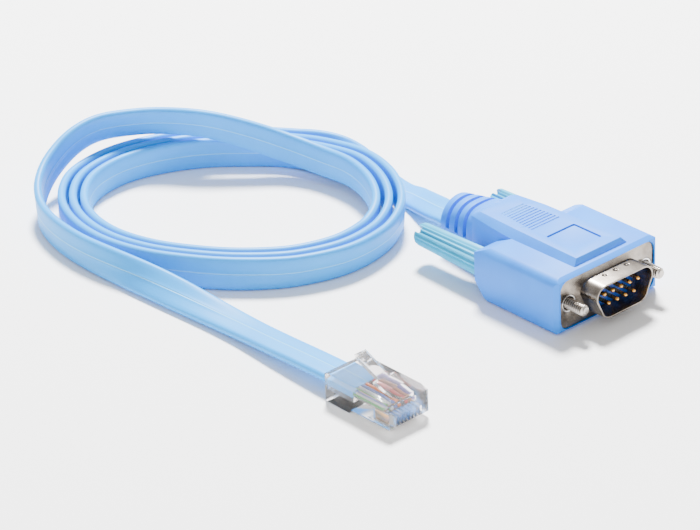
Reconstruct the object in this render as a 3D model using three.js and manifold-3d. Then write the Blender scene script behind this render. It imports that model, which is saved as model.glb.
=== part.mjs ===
// Serial adapter lead: nine-way D connector, two thumbscrews, flat lead in a loose coil, modular plug.
// Millimetres, +Z up. The mating mouth faces +X. The origin is under the middle of the connector.
import * as THREE from 'three';
import { mergeVertices } from 'three/addons/utils/BufferGeometryUtils.js';
import Module from 'manifold-3d';

const wasm = await Module();
wasm.setup();
const { Manifold } = wasm;

// Nine-way D interface, standard sizes
const FLANGE_W = 30.81;
const FLANGE_H = 12.55;
const FLANGE_T = 1.0;
const FLANGE_R = 2.6;
const MID_Z = 7.2;
const SHELL_IN_W = 16.92;
const SHELL_IN_H = 8.36;
const SHELL_WALL = 0.4;
const SHELL_R = 2.6;
const SHELL_SLOPE = THREE.MathUtils.degToRad(10);
const MOUTH_X = 5.9;
const SHELL_REAR_X = -5.5;
const COLLAR_OUT = 0.9;
const COLLAR_X = 0.55;
const PIN_D = 1.0;
const PIN_PITCH = 2.77;
const ROW_Z = 1.42;
const PIN_TIP_X = 5.0;
const PIN_REAR_X = -8.5;
const INSULATOR_FACE_X = 0.8;
const SCREW_Y = 12.495;
const THREAD_D = 2.84;

// Moulded hood
const HOOD_HALF_W = 16.7;
const HOOD_H = 14.4;
const HOOD_REAR_X = -27.2;
const HOOD_FRONT_X = 0.3;
const TOP_R = 2.2;
const BOTTOM_R = 1.3;
const RIM_BEVEL_X = 1.2;
const RIM_BEVEL = 0.8;
const TOP_CHAMFER_X = -22.5;
const TOP_CHAMFER_Z = 12.2;
const LOW_CHAMFER_X = -23.3;
const LOW_CHAMFER_Z = 4.7;
const SPINE_TOP_Z = 16.0;
const SPINE_FRONT_X = -2.0;
const SPINE_FRONT_RUN = 0.7;
const NECK_END_X = -38.0;
// X, half width at the foot, half width on top, lowest Z, top Z
const NECK = [
  [SPINE_FRONT_X, 8.7, 8.65, 6.0, HOOD_H + 0.01],
  [SPINE_FRONT_X - SPINE_FRONT_RUN, 8.7, 7.3, 6.0, SPINE_TOP_Z],
  [-23.3, 8.95, 6.95, 2.0, SPINE_TOP_Z],
  [-27.2, 8.6, 6.8, 0.5, SPINE_TOP_Z],
  [-36.0, 7.5, 6.1, 0.7, 15.7],
  [NECK_END_X, 7.2, 5.8, 0.9, 15.0],
];
const BOOT_START_X = -37.0;
const BOOT_END_X = -50.3;
const BOOT_R = 6.0;
const BOOT_HALF_W = 7.0;
const BOOT_HALF_H = 7.0;
const BOOT_MID_Z = 8.0;
const BOOT_GROOVES_X = [-47.7, -44.5, -41.3];
const BOOT_GROOVE_W = 1.25;
const BOOT_GROOVE_DEPTH = 1.1;
const BOOT_GROOVE_FOOT_Z = 7.0;
const ENTRY_Z = 6.5;
const ENTRY_LEAN = 12;
const LABEL_X = [-15.4, -6.1];
const LABEL_HALF = 4.65;
const LABEL_DEPTH = 0.4;
const PATCH_FRONT_X = -20.3;
const PATCH_GROOVES = 11;
const PATCH_PITCH = 1.1;
const PATCH_GROOVE_W = 0.5;
const PATCH_DEPTH = 0.35;
const PATCH_HALF_FRONT = 4.6;
const PATCH_HALF_REAR = 3.6;
const FIT = 0.1;
const SCREW_BORE_D = 3.2;
const REAR_POCKET_X = -10.5;

// Thumbscrews
const GRIP_FRONT_X = -27.9;
const GRIP_REAR_X = -50.4;
const GRIP_FRONT_R = 3.5;
const GRIP_REAR_R = 2.9;
const GRIP_ROUND = 1.3;
const FLUTES = 18;
const FLUTE_DEPTH = 0.4;
const SLOT_W = 1.8;
const SLOT_DEPTH = 2.0;
const SLOT_NEAR = THREE.MathUtils.degToRad(128);
const SLOT_FAR = THREE.MathUtils.degToRad(104.5);
const SHANK_D = 2.2;
const SHANK_REAR_X = -41;
const THREAD_START_X = -3.5;
const SCREW_TIP_X = 5.5;

// Modular plug, standard body
const PLUG_REAR_X = -16.5;
const PLUG_Y = -67.45;
const PLUG_W = 11.68;
const PLUG_L = 21.46;
const PLUG_STEP_X = -8.5;
const PLUG_REAR_TOP = 7.4;
const PLUG_FRONT_LOW = 1.0;
const PLUG_FRONT_TOP = 7.5;
const PLUG_EDGE = 0.35;
const JACKET_END_X = -8.3;
const WIRE_END_X = 1.5;
const WIRE_D = 0.9;
const WIRE_PITCH = 1.02;
const WIRES_Z = 4.4;
const BLADE_X = [-1.5, 2.9];
const BLADE_Z = [1.25, 3.5];
const BLADE_T = 0.35;
const SLOT_WALL_X = -1.9;
const LATCH_HALF = 3.0;
const TAIL_HALF = 1.6;

// Flat lead
const LEAD_W = 8.2;
const LEAD_T = 2.0;
const LEAD_R = 0.6;
const LEAD_GAP = 0.3;

const SHIFT_X = -(GRIP_REAR_X + MOUTH_X) / 2;

function toSolid(geometry) {
  const plain = geometry.clone();
  plain.deleteAttribute('normal');
  plain.deleteAttribute('uv');
  const merged = mergeVertices(plain, 1e-4);
  return new Manifold(new wasm.Mesh({
    numProp: 3,
    vertProperties: new Float32Array(merged.attributes.position.array),
    triVerts: new Uint32Array(merged.index.array),
  }));
}

function toGeometry(solid) {
  const m = solid.getMesh();
  const g = new THREE.BufferGeometry();
  g.setAttribute('position', new THREE.BufferAttribute(new Float32Array(m.vertProperties), 3));
  g.setIndex(new THREE.BufferAttribute(new Uint32Array(m.triVerts), 1));
  return g;
}

// Turns an extrusion made along Z into one along the named axis, keeping its outside out.
function along(geometry, axis) {
  const p = geometry.attributes.position;
  for (let i = 0; i < p.count; i += 1) {
    const [a, b, c] = [p.getX(i), p.getY(i), p.getZ(i)];
    if (axis === 'x') p.setXYZ(i, c, a, b);
    if (axis === 'y') p.setXYZ(i, b, c, a);
  }
  return geometry;
}

// A straight prism; its outline is [y, z] along x, [z, x] along y, [x, y] along z.
function prism(axis, outline, from, to) {
  const shape = new THREE.Shape(outline.map(([a, b]) => new THREE.Vector2(a, b)));
  const g = new THREE.ExtrudeGeometry(shape, { depth: to - from, bevelEnabled: false });
  g.translate(0, 0, from);
  return toSolid(along(g, axis));
}

function box(x, y, z) {
  const g = new THREE.BoxGeometry(x[1] - x[0], y[1] - y[0], z[1] - z[0]);
  g.translate((x[0] + x[1]) / 2, (y[0] + y[1]) / 2, (z[0] + z[1]) / 2);
  return toSolid(g);
}

function rod(d, from, to, y, z, sides = 20) {
  const g = new THREE.CylinderGeometry(d / 2, d / 2, to - from, sides);
  g.rotateZ(-Math.PI / 2);
  g.translate((from + to) / 2, y, z);
  return toSolid(g);
}

// A turned body along x; the profile is [x, radius] from one end on the axis to the other.
function turned(profile, y, z, sides = 24) {
  const g = new THREE.LatheGeometry(profile.map(([x, r]) => new THREE.Vector2(r, x)), sides);
  g.rotateZ(-Math.PI / 2);
  g.translate(0, y, z);
  return toSolid(g);
}

// A body through rings of points, all with the same count and seen the same way round.
function loft(rings) {
  const n = rings[0].length;
  const corner = (i) => new THREE.Vector2(Math.cos((2 * Math.PI * i) / n), Math.sin((2 * Math.PI * i) / n));
  const shape = new THREE.Shape(Array.from({ length: n }, (_, i) => corner(i)));
  const steps = rings.length - 1;
  const g = new THREE.ExtrudeGeometry(shape, { depth: steps, steps, bevelEnabled: false });
  const p = g.attributes.position;
  for (let i = 0; i < p.count; i += 1) {
    const turn = Math.atan2(p.getY(i), p.getX(i)) / (2 * Math.PI);
    const k = (Math.round(turn * n) + n) % n;
    const q = rings[Math.round(p.getZ(i))][k];
    p.setXYZ(i, q[0], q[1], q[2]);
  }
  return toSolid(g);
}

// Points round an arc from one angle to the other, in degrees.
function arc(cx, cy, r, from, to, steps) {
  return Array.from({ length: steps + 1 }, (_, i) => {
    const t = THREE.MathUtils.degToRad(from + ((to - from) * i) / steps);
    return [cx + r * Math.cos(t), cy + r * Math.sin(t)];
  });
}

function roundedBox(halfW, low, high, rLow, rHigh, steps = 4) {
  return [
    ...arc(halfW - rLow, low + rLow, rLow, -90, 0, steps),
    ...arc(halfW - rHigh, high - rHigh, rHigh, 0, 90, steps),
    ...arc(-halfW + rHigh, high - rHigh, rHigh, 90, 180, steps),
    ...arc(-halfW + rLow, low + rLow, rLow, 180, 270, steps),
  ];
}

// D outline, wide side up, grown outward by the given amount.
function dOutline(grow) {
  const halfH = SHELL_IN_H / 2 + grow;
  const lean = Math.tan(SHELL_SLOPE);
  const topHalf = SHELL_IN_W / 2 + grow;
  const lowHalf = topHalf - 2 * halfH * lean;
  const r = SHELL_R + grow;
  const slope = THREE.MathUtils.radToDeg(SHELL_SLOPE);
  const top = topHalf - r * (Math.cos(SHELL_SLOPE) - lean * (1 - Math.sin(SHELL_SLOPE)));
  const low = lowHalf - r * (Math.cos(SHELL_SLOPE) + lean * (1 + Math.sin(SHELL_SLOPE))) + 2 * r * lean;
  return [
    ...arc(low, MID_Z - halfH + r, r, -90, -slope, 4),
    ...arc(top, MID_Z + halfH - r, r, -slope, 90, 5),
    ...arc(-top, MID_Z + halfH - r, r, 90, 180 + slope, 5),
    ...arc(-low, MID_Z - halfH + r, r, 180 + slope, 270, 4),
  ];
}

const group = new THREE.Group();

function piece(name, solid, color, roughness, metalness = 0) {
  const material = new THREE.MeshStandardMaterial({ color, roughness, metalness });
  const mesh = new THREE.Mesh(toGeometry(solid), material);
  mesh.name = name;
  mesh.geometry.translate(SHIFT_X, 0, 0);
  group.add(mesh);
}

// Hood: wings, spine, neck and strain relief in one moulding
function neckRing([x, foot, top, low, high]) {
  const shoulder = Math.min(HOOD_H, high - 0.01);
  const foot2 = foot - 1.6;
  return [
    [x, foot, low + 1.6], [x, foot, shoulder], [x, top, high], [x, -top, high],
    [x, -foot, shoulder], [x, -foot, low + 1.6], [x, -foot2, low], [x, foot2, low],
  ];
}

function bootRing(x, inset) {
  const t = THREE.MathUtils.clamp((x - BOOT_START_X) / (BOOT_END_X - BOOT_START_X), 0, 1);
  const ease = t ** 0.8;
  const halfW = THREE.MathUtils.lerp(BOOT_HALF_W, BOOT_R, ease) - inset;
  const halfH = THREE.MathUtils.lerp(BOOT_HALF_H, BOOT_R, ease) - inset;
  const mid = THREE.MathUtils.lerp(BOOT_MID_Z, MID_Z, ease);
  const power = 2 / THREE.MathUtils.lerp(3.4, 2, ease);
  const count = 36;
  return Array.from({ length: count }, (_, i) => {
    const a = (2 * Math.PI * i) / count;
    const c = Math.cos(a);
    const s = Math.sin(a);
    return [x, halfW * Math.sign(c) * Math.abs(c) ** power, mid + halfH * Math.sign(s) * Math.abs(s) ** power];
  });
}

function boot(inset) {
  const steps = 8;
  const rings = Array.from({ length: steps + 1 }, (_, i) => (
    bootRing(BOOT_END_X + ((BOOT_START_X - BOOT_END_X) * i) / steps, inset)));
  return loft(rings);
}

function hood() {
  const section = prism('x', roundedBox(HOOD_HALF_W, 0, HOOD_H, BOTTOM_R, TOP_R), HOOD_REAR_X, HOOD_FRONT_X);
  const side = prism('y', [
    [LOW_CHAMFER_Z, HOOD_REAR_X], [TOP_CHAMFER_Z, HOOD_REAR_X], [HOOD_H, TOP_CHAMFER_X],
    [HOOD_H, HOOD_FRONT_X - RIM_BEVEL_X], [HOOD_H - RIM_BEVEL, HOOD_FRONT_X],
    [RIM_BEVEL, HOOD_FRONT_X], [0, HOOD_FRONT_X - RIM_BEVEL_X], [0, LOW_CHAMFER_X],
  ], -HOOD_HALF_W - 1, HOOD_HALF_W + 1);
  const plan = prism('z', [
    [HOOD_REAR_X, -HOOD_HALF_W], [HOOD_FRONT_X - RIM_BEVEL_X, -HOOD_HALF_W],
    [HOOD_FRONT_X, -HOOD_HALF_W + RIM_BEVEL], [HOOD_FRONT_X, HOOD_HALF_W - RIM_BEVEL],
    [HOOD_FRONT_X - RIM_BEVEL_X, HOOD_HALF_W], [HOOD_REAR_X, HOOD_HALF_W],
  ], -1, HOOD_H + 1);
  let body = section.intersect(side).intersect(plan);
  body = body.add(loft(NECK.map(neckRing).reverse())).add(boot(0));

  const flangeSeat = prism('x', roundedBox(FLANGE_W / 2 + FIT, MID_Z - FLANGE_H / 2 - FIT,
    MID_Z + FLANGE_H / 2 + FIT, FLANGE_R, FLANGE_R), -FLANGE_T - FIT, HOOD_FRONT_X + 1);
  const shellPocket = prism('x', dOutline(SHELL_WALL + 2 * FIT), SHELL_REAR_X - FIT, 0);
  const tailPocket = box([REAR_POCKET_X, SHELL_REAR_X], [-6.8, 6.8], [MID_Z - 2.6, MID_Z + 2.6]);
  body = body.subtract(flangeSeat).subtract(shellPocket).subtract(tailPocket);
  for (const y of [-SCREW_Y, SCREW_Y]) {
    body = body.subtract(rod(SCREW_BORE_D, HOOD_REAR_X - 1, HOOD_FRONT_X, y, MID_Z));
  }
  const label = prism('z', roundedBox(LABEL_HALF, LABEL_X[0], LABEL_X[1], 0.5, 0.5, 2)
    .map(([y, x]) => [x, y]), SPINE_TOP_Z - LABEL_DEPTH, SPINE_TOP_Z + 1);
  body = body.subtract(label);
  for (let i = 0; i < PATCH_GROOVES; i += 1) {
    const x = PATCH_FRONT_X - i * PATCH_PITCH;
    const half = THREE.MathUtils.lerp(PATCH_HALF_FRONT, PATCH_HALF_REAR, i / (PATCH_GROOVES - 1));
    const top = x > NECK[3][0] ? SPINE_TOP_Z
      : THREE.MathUtils.mapLinear(x, NECK[3][0], NECK[4][0], NECK[3][4], NECK[4][4]);
    body = body.subtract(box([x - PATCH_GROOVE_W / 2, x + PATCH_GROOVE_W / 2], [-half, half],
      [top - PATCH_DEPTH, SPINE_TOP_Z + 1]));
  }
  const core = boot(BOOT_GROOVE_DEPTH);
  for (const x of BOOT_GROOVES_X) {
    const halfGroove = BOOT_GROOVE_W / 2;
    const upper = box([x - halfGroove, x + halfGroove], [-12, 12], [BOOT_GROOVE_FOOT_Z, 20]);
    body = body.subtract(upper.subtract(core));
  }
  const entry = prism('x', roundedBox(LEAD_W / 2 + LEAD_GAP, -LEAD_T / 2 - LEAD_GAP, LEAD_T / 2 + LEAD_GAP,
    LEAD_R, LEAD_R, 2), BOOT_END_X - 1, BOOT_END_X + 3.5).rotate([ENTRY_LEAN, 0, 0]).translate([0, 0, ENTRY_Z]);
  return body.subtract(entry);
}
piece('hood', hood(), 0x9cc9f0, 0.55);

// D shell with its flange, pressed from one sheet
function shell() {
  const outer = prism('x', dOutline(SHELL_WALL), SHELL_REAR_X, MOUTH_X);
  const plate = prism('x', roundedBox(FLANGE_W / 2, MID_Z - FLANGE_H / 2, MID_Z + FLANGE_H / 2,
    FLANGE_R, FLANGE_R), -FLANGE_T, 0);
  const ring = (x, grow) => dOutline(grow).map(([y, z]) => [x, y, z]);
  const collar = loft([ring(-0.2, SHELL_WALL + COLLAR_OUT), ring(0, SHELL_WALL + COLLAR_OUT),
    ring(COLLAR_X, SHELL_WALL + 0.1)]);
  let body = outer.add(plate).add(collar).subtract(prism('x', dOutline(0), SHELL_REAR_X - 1, MOUTH_X + 1));
  for (const y of [-SCREW_Y, SCREW_Y]) {
    body = body.subtract(rod(SCREW_BORE_D, -FLANGE_T - 1, 1, y, MID_Z));
  }
  return body;
}
piece('d_shell', shell(), 0xbfbcb8, 0.35, 0.9);

const PINS = [];
for (let i = 0; i < 5; i += 1) PINS.push([(i - 2) * PIN_PITCH, MID_Z + ROW_Z]);
for (let i = 0; i < 4; i += 1) PINS.push([(i - 1.5) * PIN_PITCH, MID_Z - ROW_Z]);

function insulator() {
  let body = prism('x', dOutline(-FIT), SHELL_REAR_X, INSULATOR_FACE_X);
  for (const [y, z] of PINS) {
    body = body.subtract(rod(PIN_D + FIT, SHELL_REAR_X - 1, INSULATOR_FACE_X + 1, y, z, 16));
  }
  return body;
}
piece('insulator', insulator(), 0x1b4f9c, 0.5);

PINS.forEach(([y, z], i) => {
  const r = PIN_D / 2;
  const pin = turned([[PIN_REAR_X, 0], [PIN_REAR_X, r], [PIN_TIP_X - 0.45, r], [PIN_TIP_X - 0.15, r * 0.75],
    [PIN_TIP_X, r * 0.3], [PIN_TIP_X, 0]], y, z, 16);
  piece(`pin_${i + 1}`, pin, 0xd9b36a, 0.3, 1);
});

// Thumbscrews: fluted grip and the long screw fixed in it
function grip(y, slotAngle) {
  const count = FLUTES * 4;
  const outline = Array.from({ length: count }, (_, i) => {
    const a = (2 * Math.PI * i) / count;
    const dip = [0, 0.5, 1, 0.5][i % 4];
    const r = 1 - (FLUTE_DEPTH * dip) / GRIP_FRONT_R;
    return new THREE.Vector2(r * Math.cos(a), r * Math.sin(a));
  });
  const length = GRIP_FRONT_X - GRIP_REAR_X;
  const g = new THREE.ExtrudeGeometry(new THREE.Shape(outline), { depth: length, bevelEnabled: false });
  const p = g.attributes.position;
  for (let i = 0; i < p.count; i += 1) {
    const r = THREE.MathUtils.lerp(GRIP_REAR_R, GRIP_FRONT_R, p.getZ(i) / length);
    p.setXY(i, p.getX(i) * r, p.getY(i) * r);
  }
  along(g, 'x');
  g.translate(GRIP_REAR_X, 0, 0);
  const round = arc(GRIP_REAR_X + GRIP_ROUND, 0, GRIP_ROUND, 180, 90, 4)
    .map(([x, r]) => [x, GRIP_REAR_R + 0.05 - GRIP_ROUND + r]);
  const outer = turned([[GRIP_REAR_X, 0], ...round, [GRIP_FRONT_X - 0.3, GRIP_FRONT_R + 0.02],
    [GRIP_FRONT_X, GRIP_FRONT_R - 0.25], [GRIP_FRONT_X, 0]], 0, 0, 36);
  let body = toSolid(g).intersect(outer);
  body = body.subtract(box([GRIP_REAR_X - 1, GRIP_REAR_X + SLOT_DEPTH], [-5, 5], [-SLOT_W / 2, SLOT_W / 2]));
  body = body.subtract(rod(SHANK_D + FIT, SHANK_REAR_X - FIT, GRIP_FRONT_X + 1, 0, 0, 20));
  return body.rotate([THREE.MathUtils.radToDeg(slotAngle), 0, 0]).translate([0, y, MID_Z]);
}

function screw(y) {
  const tip = 0.5;
  return turned([[SHANK_REAR_X, 0], [SHANK_REAR_X, SHANK_D / 2], [THREAD_START_X, SHANK_D / 2],
    [THREAD_START_X + 0.3, THREAD_D / 2], [SCREW_TIP_X - tip, THREAD_D / 2],
    [SCREW_TIP_X, THREAD_D / 2 - tip], [SCREW_TIP_X, 0]], y, MID_Z, 24);
}
piece('grip_near', grip(-SCREW_Y, SLOT_NEAR), 0x8fc8de, 0.5);
piece('grip_far', grip(SCREW_Y, SLOT_FAR), 0x8fc8de, 0.5);
piece('screw_near', screw(-SCREW_Y), 0xb9b7b2, 0.3, 1);
piece('screw_far', screw(SCREW_Y), 0xb9b7b2, 0.3, 1);

// Lead: [x, y, height of the lowest edge, lean in degrees]; a lean of 90 lies flat, outer face up
const FROM_PLUG = [
  [JACKET_END_X - 0.1, PLUG_Y, 2.9, 90], [-18, PLUG_Y, 2.9, 90], [-26, -67.4, 2.65, 90],
  [-38, -67.2, 1.9, 90], [-52, -66.9, 0.9, 87], [-66, -67.6, 0.2, 72], [-80, -69.2, 0, 48],
  [-93, -70.9, 0, 24], [-106, -71.7, 0, 10], [-117.5, -70.7, 0, 4], [-127.3, -67.9, 0.1, 0],
  [-134.3, -63.7, 1.3, -4], [-139.3, -58.1, 3.2, -4], [-142.3, -51.5, 5.6, 0], [-143.4, -44.5, 7.8, 6],
  [-142.8, -37.6, 8.8, 12], [-139.2, -30.4, 9, 14], [-133.9, -24, 9, 13], [-125.2, -17.7, 8.8, 9],
  [-120.5, -14.2, 8.5, 5],
];
const TO_BOOT = [
  [-71.8, 6.2, 0, -80], [-64, 3.8, 1.5, -76], [-57.6, 1.8, 3.1, -77],
  [BOOT_END_X - 1.5, 0, 4.67, -78], [BOOT_END_X + 3, 0, 4.67, -78],
];
// The coil's innermost turn, a closed oval: x, y, pitch to the next turn, turns outside this one, lean
const OVAL = [
  [-91, 1.4, 2.95, 2, 0], [-79.9, -2.1, 3.1, 2, -2], [-70.6, -8.8, 3.1, 2, -5], [-64.5, -18.5, 3.05, 2, -8],
  [-63.2, -29, 2.95, 2, -6], [-66.6, -39.8, 2.7, 2, 0], [-73.3, -48.8, 2.45, 2, 8],
  [-82.2, -55.8, 2.4, 2, 10], [-93, -61.4, 2.4, 2, 9], [-104.5, -63.6, 2.4, 2, 5],
  [-115.5, -62, 2.5, 2, 2], [-125, -56.8, 2.8, 2, 0], [-131.8, -48.8, 3, 2, 0],
  [-134.2, -38.5, 3, 2, 0], [-132.4, -28.3, 3, 2, 0], [-127, -17.8, 3, 2, 0],
  [-119.5, -9.4, 3, 2, 0], [-110.5, -3.4, 3, 2.3, 0], [-101.5, 0, 3, 2.45, 0],
];
const OVAL_STEPS = 3 * OVAL.length;

function leadTube(route) {
  const tilt = route.map((p) => THREE.MathUtils.degToRad(p[3]));
  const height = (p, a) => p[2] + (LEAD_W / 2) * Math.abs(Math.cos(a)) + (LEAD_T / 2) * Math.abs(Math.sin(a));
  const centre = route.map((p, i) => new THREE.Vector3(p[0], p[1], height(p, tilt[i])));
  const section = roundedBox(LEAD_T / 2, -LEAD_W / 2, LEAD_W / 2, LEAD_R, LEAD_R, 1);
  const up = new THREE.Vector3(0, 0, 1);
  return loft(centre.map((c, i) => {
    const before = centre[Math.max(i - 1, 0)];
    const after = centre[Math.min(i + 1, centre.length - 1)];
    const run = after.clone().sub(before).normalize();
    const right = run.clone().cross(up).normalize();
    const rise = right.clone().cross(run).normalize();
    const wide = rise.clone().multiplyScalar(Math.cos(tilt[i])).addScaledVector(right, Math.sin(tilt[i]));
    const thin = wide.clone().cross(run).normalize();
    return section.map(([t, w]) => {
      const q = c.clone().addScaledVector(thin, t).addScaledVector(wide, w);
      return [q.x, q.y, q.z];
    });
  }));
}

// One side of the coil's band: the oval moved outward by the given distance at each of its points.
function ovalSide(distance) {
  const moved = OVAL.map((p, i) => {
    const before = OVAL[(i + OVAL.length - 1) % OVAL.length];
    const after = OVAL[(i + 1) % OVAL.length];
    const run = new THREE.Vector2(after[0] - before[0], after[1] - before[1]).normalize();
    const out = distance(p);
    return new THREE.Vector3(p[0] - run.y * out, p[1] + run.x * out, 0);
  });
  const curve = new THREE.CatmullRomCurve3(moved, true, 'centripetal');
  return Array.from({ length: OVAL_STEPS }, (_, i) => curve.getPoint(i / OVAL_STEPS));
}

function leadCoil() {
  const outline = (distance) => ovalSide(distance).map((p) => [p.x, p.y]);
  const outer = prism('z', outline((p) => p[2] * p[3] + LEAD_T / 2), 0, LEAD_W);
  const inner = prism('z', outline(() => -LEAD_T / 2), -1, LEAD_W + 1);
  return outer.subtract(inner);
}
piece('lead_plug_end', leadTube(FROM_PLUG), 0x8fcaf2, 0.5);
piece('lead_coil', leadCoil(), 0x8fcaf2, 0.5);
piece('lead_hood_end', leadTube(TO_BOOT), 0x8fcaf2, 0.5);

// Modular plug: clear body with its latch, contacts, and the wires inside
const WIRE_Y = Array.from({ length: 8 }, (_, i) => PLUG_Y + (i - 3.5) * WIRE_PITCH);

function plug() {
  const half = PLUG_W / 2;
  const noseX = PLUG_REAR_X + PLUG_L;
  const e = PLUG_EDGE;
  const flat = prism('y', [
    [e, PLUG_REAR_X], [PLUG_REAR_TOP - e, PLUG_REAR_X], [PLUG_REAR_TOP, PLUG_REAR_X + e],
    [PLUG_FRONT_TOP, noseX - 2.2], [PLUG_FRONT_TOP - 0.6, noseX], [PLUG_FRONT_LOW + 0.4, noseX],
    [PLUG_FRONT_LOW, noseX - 0.4], [PLUG_FRONT_LOW, PLUG_STEP_X + 0.5], [0, PLUG_STEP_X], [0, PLUG_REAR_X + e],
  ], PLUG_Y - half, PLUG_Y + half);
  const latchFront = prism('y', [
    [6.2, 3.6], [7.2, 3.8], [8.0, 2.6], [9.4, -2.6], [9.2, -3.2], [8.4, -3.2], [7.0, 2.0],
  ], PLUG_Y - LATCH_HALF, PLUG_Y + LATCH_HALF);
  const latchTail = prism('y', [
    [8.4, -3.0], [9.4, -2.4], [9.7, -3.6], [12.6, -10.7], [12.3, -11.0], [11.5, -10.7], [8.8, -4.2],
  ], PLUG_Y - TAIL_HALF, PLUG_Y + TAIL_HALF);
  let body = flat.add(latchFront).add(latchTail);
  const jacketRoom = box([PLUG_REAR_X - 1, JACKET_END_X + 0.3],
    [PLUG_Y - LEAD_W / 2 - LEAD_GAP, PLUG_Y + LEAD_W / 2 + LEAD_GAP],
    [2.9 - LEAD_GAP, 2.9 + LEAD_T + LEAD_GAP]);
  const wireRoom = box([JACKET_END_X, WIRE_END_X + 0.1],
    [WIRE_Y[0] - WIRE_D / 2 - FIT, WIRE_Y[7] + WIRE_D / 2 + FIT],
    [WIRES_Z - WIRE_D / 2 - FIT, WIRES_Z + WIRE_D / 2 + FIT]);
  body = body.subtract(jacketRoom).subtract(wireRoom);
  for (const y of WIRE_Y) {
    const w = BLADE_T / 2 + FIT;
    body = body.subtract(box([SLOT_WALL_X, noseX + 1], [y - w, y + w], [0, BLADE_Z[1] + FIT]));
  }
  return body;
}
piece('plug', plug(), 0xe6e6e2, 0.1);

WIRE_Y.forEach((y, i) => {
  const blade = prism('y', [
    [BLADE_Z[0], BLADE_X[0]], [BLADE_Z[1], BLADE_X[0]], [BLADE_Z[1], BLADE_X[1]],
    [BLADE_Z[0] + 0.5, BLADE_X[1]], [BLADE_Z[0], BLADE_X[1] - 0.5],
  ], y - BLADE_T / 2, y + BLADE_T / 2);
  piece(`contact_${i + 1}`, blade, 0xe0b860, 0.25, 1);
});

const WIRE_COLOURS = [0x4f9a58, 0xc9ccd0, 0x3f74c4, 0xe58a3a, 0x2b2b2e, 0xc0392f, 0x9a6236, 0x8a7fc0];
WIRE_Y.forEach((y, i) => {
  piece(`wire_${i + 1}`, rod(WIRE_D, JACKET_END_X + 0.15, WIRE_END_X, y, WIRES_Z, 12), WIRE_COLOURS[i], 0.5);
});

export default group;
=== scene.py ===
# Serial adapter lead: a nine-way D connector in a moulded hood, a flat cord in a loose coil, a clear plug.
# Metres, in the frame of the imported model: +X out of the mating mouth, +Z up, origin under the connector.
import math

import bpy
from mathutils import Matrix, Vector


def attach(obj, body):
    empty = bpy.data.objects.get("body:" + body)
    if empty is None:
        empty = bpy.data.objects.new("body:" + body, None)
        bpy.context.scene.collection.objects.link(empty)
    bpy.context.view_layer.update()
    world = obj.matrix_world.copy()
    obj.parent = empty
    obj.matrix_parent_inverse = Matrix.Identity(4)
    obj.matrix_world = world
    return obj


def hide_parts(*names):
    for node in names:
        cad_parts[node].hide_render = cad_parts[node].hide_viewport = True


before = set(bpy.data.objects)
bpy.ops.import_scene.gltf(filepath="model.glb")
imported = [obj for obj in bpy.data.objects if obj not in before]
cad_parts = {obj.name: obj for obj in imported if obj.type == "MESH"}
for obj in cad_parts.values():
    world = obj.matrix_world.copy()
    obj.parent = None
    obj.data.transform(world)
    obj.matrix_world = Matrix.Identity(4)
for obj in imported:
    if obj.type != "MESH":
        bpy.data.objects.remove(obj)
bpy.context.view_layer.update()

MM = 0.001
ROOT = "connector"
# The cord's points and the camera are given in a frame whose X is 0 on the flange's front face.
SHIFT_X = 22.25


def at(x, y, z):
    """A point given in millimetres from the flange, in the row frame in metres."""
    return Vector(((x + SHIFT_X) * MM, y * MM, z * MM))


# Camera
PHOTO_W = 700
FOCAL_PX = 3500
SENSOR_MM = 36.0
CAMERA_AT = at(503.571, -510.508, 398.524)
YAW = math.radians(-49.373)
PITCH = math.radians(28.197)
ROLL = math.radians(-2.527)
CLIP_M = (0.05, 20)


def make_camera():
    level_share = math.cos(PITCH)
    ahead = Vector((math.sin(YAW) * level_share, math.cos(YAW) * level_share, -math.sin(PITCH)))
    level = ahead.cross(Vector((0, 0, 1))).normalized()
    above = level.cross(ahead)
    right = level * math.cos(ROLL) + above * math.sin(ROLL)
    up = above * math.cos(ROLL) - level * math.sin(ROLL)
    data = bpy.data.cameras.new("camera")
    data.sensor_width = SENSOR_MM
    data.lens = FOCAL_PX / PHOTO_W * SENSOR_MM
    data.clip_start, data.clip_end = CLIP_M
    camera = bpy.data.objects.new("camera", data)
    axes = Matrix((right, up, -ahead)).transposed().to_4x4()
    camera.matrix_world = Matrix.Translation(CAMERA_AT) @ axes
    bpy.context.scene.collection.objects.link(camera)
    bpy.context.scene.camera = camera


make_camera()


# Node helpers
def rgb(hex_colour):
    """An sRGB hex colour as linear RGBA."""
    def linear(v):
        return v / 12.92 if v <= 0.04045 else ((v + 0.055) / 1.055) ** 2.4
    channels = [int(hex_colour[i:i + 2], 16) / 255 for i in (1, 3, 5)]
    return tuple(linear(v) for v in channels) + (1.0,)


def add(material, kind, links=None, **values):
    """Adds a node; links maps its input names to sockets, values sets its properties."""
    node = material.node_tree.nodes.new(kind)
    for name, value in values.items():
        setattr(node, name, value)
    for name, source in (links or {}).items():
        if hasattr(source, "links"):
            material.node_tree.links.new(source, node.inputs[name])
        else:
            node.inputs[name].default_value = source
    return node


def new_material(name, colour, roughness, **shader):
    material = bpy.data.materials.new(name)
    material.use_nodes = True
    bsdf = material.node_tree.nodes["Principled BSDF"]
    bsdf.inputs["Base Color"].default_value = rgb(colour)
    bsdf.inputs["Roughness"].default_value = roughness
    for label, value in shader.items():
        bsdf.inputs[label.replace("_", " ").title().replace("Ior", "IOR")].default_value = value
    return material, bsdf


DARK_END = 0.3
LIGHT_START = 0.7
GLOSS_SPREAD = (-0.06, 0.08)
GRAIN_STRENGTH = 0.6


def noise(material, vector, size_mm, detail):
    links = {"Vector": vector, "Scale": 1 / (size_mm * MM), "Detail": detail}
    return add(material, "ShaderNodeTexNoise", links).outputs["Fac"]


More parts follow.
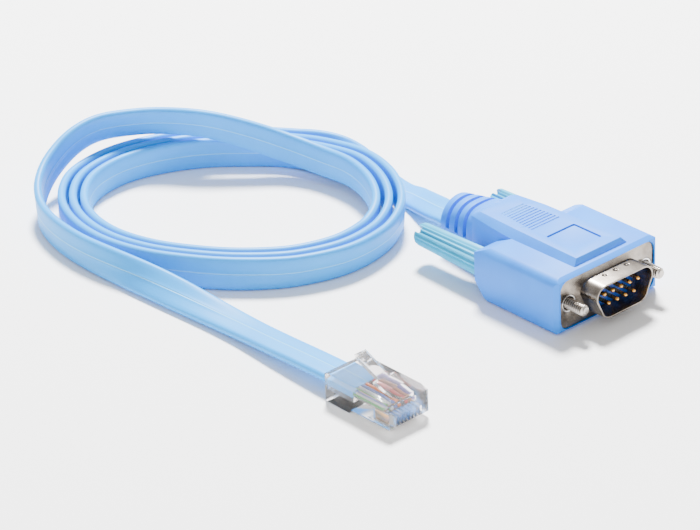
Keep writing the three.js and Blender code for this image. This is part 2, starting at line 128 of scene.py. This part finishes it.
def mottled(name, light, dark, roughness, patch_mm, grain_mm, grain_depth_mm, **shader):
    """A surface with a slow colour drift between two tones, and a fine grain in gloss and relief."""
    material, bsdf = new_material(name, light, roughness, **shader)
    link = material.node_tree.links.new
    where = add(material, "ShaderNodeTexCoord").outputs["Object"]
    tone = add(material, "ShaderNodeValToRGB", {"Fac": noise(material, where, patch_mm, 3.0)})
    tone.color_ramp.elements[0].position = DARK_END
    tone.color_ramp.elements[0].color = rgb(dark)
    tone.color_ramp.elements[1].position = LIGHT_START
    tone.color_ramp.elements[1].color = rgb(light)
    link(tone.outputs["Color"], bsdf.inputs["Base Color"])
    grain = noise(material, where, grain_mm, 4.0)
    gloss = add(material, "ShaderNodeMapRange", {"Value": grain, "To Min": roughness + GLOSS_SPREAD[0],
                                                 "To Max": roughness + GLOSS_SPREAD[1]})
    link(gloss.outputs["Result"], bsdf.inputs["Roughness"])
    relief = add(material, "ShaderNodeBump", {"Height": grain, "Strength": GRAIN_STRENGTH,
                                              "Distance": grain_depth_mm * MM})
    link(relief.outputs["Normal"], bsdf.inputs["Normal"])
    return material


def tint(material, share, colour):
    """Mixes another colour into the material where share, a socket from 0 to 1, is high."""
    target = material.node_tree.nodes["Principled BSDF"].inputs["Base Color"]
    before = target.links[0].from_socket
    mix = add(material, "ShaderNodeMix", data_type="RGBA")
    link = material.node_tree.links.new
    link(share, mix.inputs["Factor"])
    link(before, mix.inputs["A"])
    mix.inputs["B"].default_value = rgb(colour)
    link(mix.outputs["Result"], target)


def emboss(material, height, depth_mm):
    """Adds relief on top of the material's grain."""
    target = material.node_tree.nodes["Principled BSDF"].inputs["Normal"]
    bump = add(material, "ShaderNodeBump", {"Height": height, "Distance": depth_mm * MM,
                                            "Normal": target.links[0].from_socket})
    material.node_tree.links.new(bump.outputs["Normal"], target)


def near(material, distance, from_mm, to_mm):
    """1 where the distance is under from_mm, falling smoothly to 0 at to_mm."""
    ends = {"Value": distance, "From Min": from_mm * MM, "From Max": to_mm * MM, "To Min": 1.0, "To Max": 0.0}
    fall = add(material, "ShaderNodeMapRange", ends, interpolation_type="SMOOTHSTEP")
    return fall.outputs["Result"]


def distance_to(material, vector, point):
    gap = add(material, "ShaderNodeVectorMath", operation="DISTANCE")
    material.node_tree.links.new(vector, gap.inputs[0])
    gap.inputs[1].default_value = point
    return gap.outputs["Value"]


def combined(material, operation, a, b):
    node = add(material, "ShaderNodeMath", operation=operation)
    for socket, value in zip(node.inputs, (a, b)):
        if hasattr(value, "links"):
            material.node_tree.links.new(value, socket)
        else:
            socket.default_value = value
    return node.outputs["Value"]


def attribute(material, name):
    return add(material, "ShaderNodeAttribute", attribute_name=name).outputs["Fac"]


# Materials. Their colours are deeper than they look, because the view transform pales them.
SCREW_Y = 12.495
MID_Z = 7.2
HOOD = mottled("hood_vinyl", "#1287f2", "#0f7eea", 0.52, 9, 0.25, 0.02, specular_ior_level=0.3)
CORD = mottled("cord_vinyl", "#05a6fa", "#059df2", 0.42, 14, 0.4, 0.012, specular_ior_level=0.3)
GRIP = mottled("grip_plastic", "#12acd6", "#0ea2cc", 0.45, 6, 0.3, 0.012, specular_ior_level=0.3)
STEEL = mottled("nickel_plate", "#968e85", "#655d55", 0.27, 4, 0.12, 0.006, metallic=1.0)
SCREW_STEEL = mottled("screw_plate", "#b3aca5", "#a29b93", 0.28, 2, 0.15, 0.006, metallic=1.0)
GOLD = mottled("gold_plate", "#dfa75c", "#d19a50", 0.25, 1.5, 0.1, 0.003, metallic=1.0)
BLUE = mottled("blue_insulator", "#0a49a8", "#083d92", 0.38, 2, 0.2, 0.01)
CLEAR = mottled("clear_polycarbonate", "#fffdfc", "#fbf8f7", 0.07, 8, 1.2, 0.003,
                transmission_weight=0.95, ior=1.22)
WIRE_COLOURS = {"green": "#0f9a3c", "grey": "#c3ccd4", "blue": "#1a4fb0", "orange": "#f0780c",
                "black": "#1d1b1e", "red": "#c8150c", "brown": "#8f4a1c", "violet": "#5a4cb4"}
WIRES = [mottled(f"wire_{name}", tone, tone, 0.4, 2, 0.2, 0.005) for name, tone in WIRE_COLOURS.items()]

# Three small dimples pressed into the top of the shell, and a turned-over rim round each screw hole, which is
# painted a pale tone as a painted highlight
DIMPLES = ((2.2, -3.0), (2.2, 0.6), (2.2, 4.2))
DIMPLE_R = (0.15, 0.75)
DIMPLE_DEPTH = 0.35
SHELL_TOP_Z = 11.78
HOLE_RIM_R = 1.95
RIM_HALF = (0.1, 0.32)
RIM_HEIGHT = 0.25


def mark_shell():
    where = add(STEEL, "ShaderNodeTexCoord").outputs["Object"]
    pressed = 0.0
    for x, y in DIMPLES:
        spot = near(STEEL, distance_to(STEEL, where, at(x, y, SHELL_TOP_Z)), *DIMPLE_R)
        pressed = combined(STEEL, "MAXIMUM", spot, pressed)
    emboss(STEEL, combined(STEEL, "SUBTRACT", 1.0, pressed), DIMPLE_DEPTH)
    flat = add(STEEL, "ShaderNodeVectorMath", operation="MULTIPLY")
    STEEL.node_tree.links.new(where, flat.inputs[0])
    flat.inputs[1].default_value = (0.0, 1.0, 1.0)
    rim_relief_and_highlight = 0.0
    for y in (-SCREW_Y, SCREW_Y):
        away = distance_to(STEEL, flat.outputs["Vector"], (0.0, y * MM, MID_Z * MM))
        off = combined(STEEL, "ABSOLUTE", combined(STEEL, "SUBTRACT", away, HOLE_RIM_R * MM), 0.0)
        rim_relief_and_highlight = combined(STEEL, "MAXIMUM", near(STEEL, off, *RIM_HALF), rim_relief_and_highlight)
    emboss(STEEL, rim_relief_and_highlight, RIM_HEIGHT)
    # Painted highlight: the rim round each screw hole is painted a pale tone for the light it catches
    tint(STEEL, rim_relief_and_highlight, "#e6e2de")


LINE_HALF = (0.06, 0.24)
LINE_SHARE = 0.55
LINE_RELIEF = 0.08
STREAK_SCALE = (25.0, 1600.0, 1.0)
STREAK_SHARE = 0.22


def mark_cord():
    """A thin raised line down the middle of each face, and faint streaks along the cord."""
    uv = add(CORD, "ShaderNodeUVMap", uv_map="along")
    parts = add(CORD, "ShaderNodeSeparateXYZ", {"Vector": uv.outputs["UV"]})
    across = combined(CORD, "ABSOLUTE", parts.outputs["Y"], 0.0)
    line = near(CORD, across, *LINE_HALF)
    tint(CORD, combined(CORD, "MULTIPLY", line, LINE_SHARE), "#8fdcff")
    emboss(CORD, line, LINE_RELIEF)
    stretch = add(CORD, "ShaderNodeMapping", {"Vector": uv.outputs["UV"], "Scale": STREAK_SCALE})
    links = {"Vector": stretch.outputs["Vector"], "Scale": 1.0, "Detail": 2.0}
    streak = add(CORD, "ShaderNodeTexNoise", links)
    tint(CORD, combined(CORD, "MULTIPLY", streak.outputs["Fac"], STREAK_SHARE), "#0a86d6")


# The finger patch on the hood: its ends, half width, and the heights between which its floors lie
PATCH_X = (-31.7, -20.0)
PATCH_HALF = 4.9
PATCH_TOP = 15.75
PATCH_FLOOR = 15.4


def paint_patch_highlight():
    """The floors of the finger patch's grooves are painted a lighter tone, a painted highlight for the light
    the patch's ribs catch.
    """
    where = add(HOOD, "ShaderNodeTexCoord").outputs["Object"]
    parts = add(HOOD, "ShaderNodeSeparateXYZ", {"Vector": where})
    middle = at((PATCH_X[0] + PATCH_X[1]) / 2, 0, 0).x
    half = (PATCH_X[1] - PATCH_X[0]) / 2 * MM
    off = combined(HOOD, "ABSOLUTE", combined(HOOD, "SUBTRACT", parts.outputs["X"], middle), 0.0)
    inside = combined(HOOD, "LESS_THAN", off, half)
    aside = combined(HOOD, "ABSOLUTE", parts.outputs["Y"], 0.0)
    narrow = combined(HOOD, "LESS_THAN", aside, PATCH_HALF * MM)
    low = combined(HOOD, "LESS_THAN", parts.outputs["Z"], PATCH_TOP * MM)
    high = combined(HOOD, "GREATER_THAN", parts.outputs["Z"], PATCH_FLOOR * MM)
    patch_highlight = combined(HOOD, "MULTIPLY", combined(HOOD, "MULTIPLY", inside, narrow),
                    combined(HOOD, "MULTIPLY", low, high))
    # Painted highlight: the finger patch is painted lighter where its ribs catch the light
    tint(HOOD, patch_highlight, "#a6dcff")


paint_patch_highlight()
mark_shell()
mark_cord()
# Painted shade: the thread roots of the screws are painted darker where shade falls in them
tint(SCREW_STEEL, attribute(SCREW_STEEL, "groove"), "#3b352f")
# Painted shade: the flutes of the grips are painted darker where shade falls in them
tint(GRIP, attribute(GRIP, "groove"), "#0c5f8c")


# Mesh helpers
WELD_M = 2e-6
FLAT_DEG = 1.0
bodies = {}


def select_only(obj):
    bpy.ops.object.select_all(action="DESELECT")
    obj.select_set(True)
    bpy.context.view_layer.objects.active = obj


def set_groove_shade(obj, depth_of):
    """Stores how deep in a groove each vertex lies, from 0 to 1, as the share of painted shade the groove
    gets.
    """
    layer = obj.data.attributes.new("groove", "FLOAT", "POINT")
    for vertex, item in zip(obj.data.vertices, layer.data):
        item.value = min(1.0, max(0.0, depth_of(vertex.co)))


def finish_piece(obj, material, angle=35):
    obj.data.materials.clear()
    obj.data.materials.append(material)
    select_only(obj)
    bpy.ops.object.shade_smooth_by_angle(angle=math.radians(angle))
    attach(obj, bodies.get(obj.name, ROOT))


def dressed(node, material, bevel_mm=0.0, body=ROOT, angle=35, segments=3, limit=30):
    """A copy of a CAD node with its seams welded, its flats joined and its sharp edges rounded."""
    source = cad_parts[node]
    obj = bpy.data.objects.new(f"{node}_skin", source.data.copy())
    bpy.context.scene.collection.objects.link(obj)
    select_only(obj)
    bpy.ops.object.mode_set(mode="EDIT")
    bpy.ops.mesh.select_all(action="SELECT")
    bpy.ops.mesh.remove_doubles(threshold=WELD_M)
    bpy.ops.mesh.dissolve_limited(angle_limit=math.radians(FLAT_DEG))
    bpy.ops.object.mode_set(mode="OBJECT")
    if bevel_mm:
        bevel = obj.modifiers.new("soft_edges", "BEVEL")
        bevel.width = bevel_mm * MM
        bevel.segments = segments
        bevel.limit_method = "ANGLE"
        bevel.angle_limit = math.radians(limit)
        bevel.use_clamp_overlap = True
        bpy.ops.object.modifier_apply(modifier="soft_edges")
    bodies[obj.name] = body
    finish_piece(obj, material, angle)
    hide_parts(node)
    return obj


def mesh_piece(name, verts, faces, material, body=ROOT, angle=50):
    mesh = bpy.data.meshes.new(name)
    mesh.from_pydata([tuple(v) for v in verts], [], faces)
    mesh.update()
    obj = bpy.data.objects.new(name, mesh)
    bpy.context.scene.collection.objects.link(obj)
    bodies[name] = body
    finish_piece(obj, material, angle)
    return obj


def rings_piece(name, rings, material, body=ROOT, angle=50):
    """A closed body through rings of points with the same count, with flat ends."""
    count = len(rings[0])
    verts = [p for ring in rings for p in ring]
    faces = []
    for i in range(len(rings) - 1):
        for j in range(count):
            k = (j + 1) % count
            low, high = i * count, (i + 1) * count
            faces.append((low + j, low + k, high + k, high + j))
    faces.append(tuple(reversed(range(count))))
    faces.append(tuple((len(rings) - 1) * count + j for j in range(count)))
    return mesh_piece(name, verts, faces, material, body, angle)


# Cord, from the plug round the coil to the hood. Points are x, y, height of the lowest edge, and lean in
# degrees: 0 stands on edge, 90 lies with its outer face up, -90 with its inner face up.
CORD_W = 8.2
CORD_T = 2.0
CORD_STEPS = 7
EDGE_R = 0.8
EDGE_STEPS = 5
# Across the width of a face, and how far each place lies below the face's highest level
FACE_PROFILE = ((2.3, 0), (1.15, 0.01), (0.22, 0.02), (0, -0.05), (-0.22, 0.02), (-1.15, 0.01), (-2.3, 0))
FROM_PLUG = [
    (-8.4, -67.45, 2.9, 90), (-18, -67.45, 2.9, 90), (-26, -67.4, 2.65, 90),
    (-38, -67.2, 1.9, 90), (-52, -66.9, 0.9, 87), (-66, -67.6, 0.2, 72), (-80, -69.2, 0, 48),
    (-93, -70.9, 0, 24), (-106, -71.7, 0, 10), (-117.5, -70.7, 0, 4), (-127.3, -67.9, 0.1, 0),
    (-134.3, -63.7, 1.3, -4), (-139.3, -58.1, 3.2, -4), (-142.3, -51.5, 5.6, 0), (-143.4, -44.5, 7.8, 6),
    (-142.8, -37.6, 8.8, 12), (-139.2, -30.4, 9, 14), (-133.9, -24, 9, 13), (-125.2, -17.7, 8.8, 9),
    (-116.8, -11.2, 6.6, 2), (-108.2, -5.2, 3.6, -3), (-98.8, -2.2, 2.2, -4),
]
# The coil's innermost turn, a closed oval: x, y, pitch to the next turn, share of a turn climbed, lean, lift.
# At the back right all the turns pass over the cord on its way to the hood, which lies flat there.
OVAL = [
    (-87.8, -1.5, 2.95, 0, 0, 2.3), (-76.8, -4.9, 3.1, 0, -2, 2.2), (-68.8, -10.5, 3.1, 0, -5, 1.2),
    (-64.5, -18.5, 3.05, 0, -8, 0), (-63.2, -29, 2.95, 0, -6, 0), (-66.6, -39.8, 2.7, 0, 0, 0),
    (-73.3, -48.8, 2.45, 0, 8, 0), (-82.2, -55.8, 2.4, 0, 10, 0), (-93, -61.4, 2.4, 0, 9, 0),
    (-104.5, -63.6, 2.4, 0, 5, 0), (-115.5, -62, 2.5, 0, 2, 0), (-125, -56.8, 2.8, 0, 0, 0),
    (-131.8, -48.8, 3, 0, 0, 0), (-134.2, -38.5, 3, 0, 0, 0), (-132.4, -28.3, 3, 0, 0, 0),
    (-127, -17.8, 3, 0, 0, 0), (-119.5, -9.4, 3, 0, 0, 0), (-110.5, -3.4, 3, 0.4, 0, 0),
    (-99.6, -1.7, 3, 0.8, 0, 1.3),
]
COIL_POINTS = 3 * len(OVAL) - 1
TO_BOOT = [
    (-105.5, 6.8, 0, -22), (-98.6, 8.6, 0, -54), (-92, 8.7, 0, -79), (-85, 7.6, 0, -88), (-78, 6.5, 0, -87),
    (-71.8, 6.2, 0, -80), (-64, 3.8, 1.5, -76), (-57.6, 1.8, 3.1, -77), (-51.8, 0, 4.67, -78),
    (-47.3, 0, 4.67, -78),
]


def coil_point(k):
    i = k % len(OVAL)
    x, y, pitch, climb, lean, lift = OVAL[i]
    before = OVAL[i - 1]
    after = OVAL[(i + 1) % len(OVAL)]
    run = Vector((after[0] - before[0], after[1] - before[1])).normalized()
    out = (k // len(OVAL) + climb) * pitch
    return (x - run.y * out, y + run.x * out, lift, lean)


def smooth_route(points):
    """Catmull-Rom through the points, as tuples of the same four numbers."""
    route = []
    for i in range(len(points) - 1):
        p0, p1, p2, p3 = (Vector(points[min(max(i + s, 0), len(points) - 1)]) for s in (-1, 0, 1, 2))
        for step in range(CORD_STEPS):
            t = step / CORD_STEPS
            route.append(0.5 * (2 * p1 + (p2 - p0) * t + (2 * p0 - 5 * p1 + 4 * p2 - p3) * t * t
                                + (3 * p1 - p0 - 3 * p2 + p3) * t ** 3))
    route.append(Vector(points[-1]))
    return route


def cord_section():
    """The flat cord's outline across its thickness and its width, with a fine line down each face."""
    half_t = CORD_T / 2
    half_w = CORD_W / 2
    outline = []
    for side in (1, -1):
        for i in range(EDGE_STEPS + 1):
            a = math.radians(-90 + 180 * i / EDGE_STEPS)
            across = half_w - EDGE_R + EDGE_R * math.cos(a)
            outline.append((math.sin(a) * half_t * side, across * side))
        for w, dip in FACE_PROFILE:
            outline.append(((half_t - dip) * side, w * side))
    return outline


def make_cord():
    points = FROM_PLUG + [coil_point(k) for k in range(COIL_POINTS)] + TO_BOOT
    route = smooth_route(points)
    leans = [math.radians(p[3]) for p in route]
    outline = cord_section()
    centre = []
    for p, lean in zip(route, leans):
        reach = CORD_W / 2 * abs(math.cos(lean)) + CORD_T / 2 * abs(math.sin(lean))
        centre.append(at(p[0], p[1], max(p[2], 0) + reach))
    rings = []
    for i, c in enumerate(centre):
        run = (centre[min(i + 1, len(centre) - 1)] - centre[max(i - 1, 0)]).normalized()
        right = run.cross(Vector((0, 0, 1))).normalized()
        rise = right.cross(run).normalized()
        wide = rise * math.cos(leans[i]) + right * math.sin(leans[i])
        thin = wide.cross(run).normalized()
        rings.append([c + thin * t * MM + wide * w * MM for t, w in outline])
    cord = rings_piece("cord", rings, CORD, angle=60)
    along = [0.0]
    for a, b in zip(centre, centre[1:]):
        along.append(along[-1] + (b - a).length)
    layer = cord.data.uv_layers.new(name="along")
    for corner in cord.data.loops:
        ring, j = divmod(corner.vertex_index, len(outline))
        layer.data[corner.index].uv = (along[ring], outline[j][1] * MM)
    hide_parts("lead_plug_end", "lead_coil", "lead_hood_end")
    return cord, list(reversed(centre)), along[-1]


cord, cord_path, cord_length = make_cord()

# Hood, shell, insulator, pins
dressed("hood", HOOD, bevel_mm=0.28, angle=40)
dressed("d_shell", STEEL, bevel_mm=0.09, segments=2, limit=40)
dressed("insulator", BLUE, bevel_mm=0.05, segments=2, limit=50)
for i in range(1, 10):
    dressed(f"pin_{i}", GOLD, angle=30)

# Thumbscrews
THREAD_PITCH = 0.635
THREAD_R = 1.42
THREAD_DEPTH = 0.42
THREAD_X = (-3.5, 5.5)
CREST_TOP = 1.3
CREST_SLOPE = 3.4
RUN_IN_MM = 0.6
GROOVE_BIAS = 0.15
SHANK_X = -41.0
SHANK_R = 1.1
TIP_MM = 0.45
TIP_SHARE = 0.68
TURN_STEPS = 28
RINGS_A_TURN = 10


def thread_radius(x, turn):
    """The screw's radius at x, at that share of a turn round it."""
    start, end = THREAD_X
    phase = (x / THREAD_PITCH - turn) % 1.0
    crest = min(1.0, max(0.0, CREST_TOP - abs(phase - 0.5) * CREST_SLOPE))
    thread = THREAD_R - THREAD_DEPTH * (1 - crest)
    if x >= end - TIP_MM:
        return thread * (TIP_SHARE + (1 - TIP_SHARE) * (end - x) / TIP_MM)
    run_in = min(1.0, max(0.0, (x - start) / RUN_IN_MM))
    return SHANK_R + (thread - SHANK_R) * run_in


def from_axis(co, y):
    """How far a vertex lies from a thumbscrew's axis, in millimetres."""
    return math.hypot(co.y - y * MM, co.z - MID_Z * MM) / MM


def make_screw(side, y):
    start, end = THREAD_X
    count = int((end - start) / THREAD_PITCH * RINGS_A_TURN)
    stations = [SHANK_X, start] + [start + (end - start) * (i + 1) / count for i in range(count)]
    rings = []
    for x in stations:
        ring = []
        for j in range(TURN_STEPS):
            turn = j / TURN_STEPS
            r = SHANK_R if x <= start else thread_radius(x, turn)
            angle = 2 * math.pi * turn
            ring.append(at(x, y + r * math.cos(angle), MID_Z + r * math.sin(angle)))
        rings.append(ring)
    screw = rings_piece(f"screw_{side}_threaded", rings, SCREW_STEEL,
                        body=f"thumbscrew_{side}", angle=30)
    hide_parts(f"screw_{side}")

    def depth(co):
        if not start + RUN_IN_MM < co.x / MM - SHIFT_X < end - TIP_MM:
            return 0.0
        return (THREAD_R - from_axis(co, y)) / THREAD_DEPTH - GROOVE_BIAS

    set_groove_shade(screw, depth)


GRIP_X = (-50.4, -27.9)
GRIP_R = (2.9, 3.5)
FLUTE_DEPTH = 0.4
FLUTE_ENDS = (1.4, 0.4)


def make_grip(side, y):
    grip = dressed(f"grip_{side}", GRIP, bevel_mm=0.05, segments=2, angle=25,
                   body=f"thumbscrew_{side}", limit=40)

    def depth(co):
        x = co.x / MM - SHIFT_X
        if not GRIP_X[0] + FLUTE_ENDS[0] < x < GRIP_X[1] - FLUTE_ENDS[1]:
            return 0.0
        share = (x - GRIP_X[0]) / (GRIP_X[1] - GRIP_X[0])
        return (GRIP_R[0] + (GRIP_R[1] - GRIP_R[0]) * share - from_axis(co, y)) / FLUTE_DEPTH

    set_groove_shade(grip, depth)


for side, y in (("near", -SCREW_Y), ("far", SCREW_Y)):
    make_screw(side, y)
    make_grip(side, y)

# Plug
plug_pieces = [dressed("plug", CLEAR, bevel_mm=0.12, segments=2)]
for i, wire in enumerate(WIRES, 1):
    plug_pieces.append(dressed(f"contact_{i}", GOLD, bevel_mm=0.04, segments=2))
    plug_pieces.append(dressed(f"wire_{i}", wire, angle=40))


# Floor and light
FLOOR_M = 6
FLOOR_ROUGHNESS = 0.85
WORLD_STRENGTH = 0.85
TARGET = (-0.03, -0.02, 0)
KEY = dict(spot=(-0.5, 0.42, 1.0), size=0.28, power=74)
FILL = dict(spot=(0.6, -0.9, 0.7), size=0.8, power=2)


def make_floor():
    bpy.ops.mesh.primitive_plane_add(size=FLOOR_M, location=(0, 0, 0))
    floor = bpy.context.object
    floor.name = "floor"
    floor.data.materials.append(new_material("floor", "#ffffff", FLOOR_ROUGHNESS)[0])


def make_light(name, spot, size, power):
    data = bpy.data.lights.new(name, "AREA")
    data.shape = "DISK"
    data.size = size
    data.energy = power
    light = bpy.data.objects.new(name, data)
    light.location = spot
    light.rotation_euler = (Vector(TARGET) - Vector(spot)).to_track_quat("-Z", "Y").to_euler()
    bpy.context.scene.collection.objects.link(light)


def make_world():
    world = bpy.data.worlds.new("studio")
    bpy.context.scene.world = world
    world.use_nodes = True
    background = world.node_tree.nodes["Background"]
    background.inputs["Color"].default_value = rgb("#ffffff")
    background.inputs["Strength"].default_value = WORLD_STRENGTH


make_floor()
make_world()
make_light("key", **KEY)
make_light("fill", **FILL)
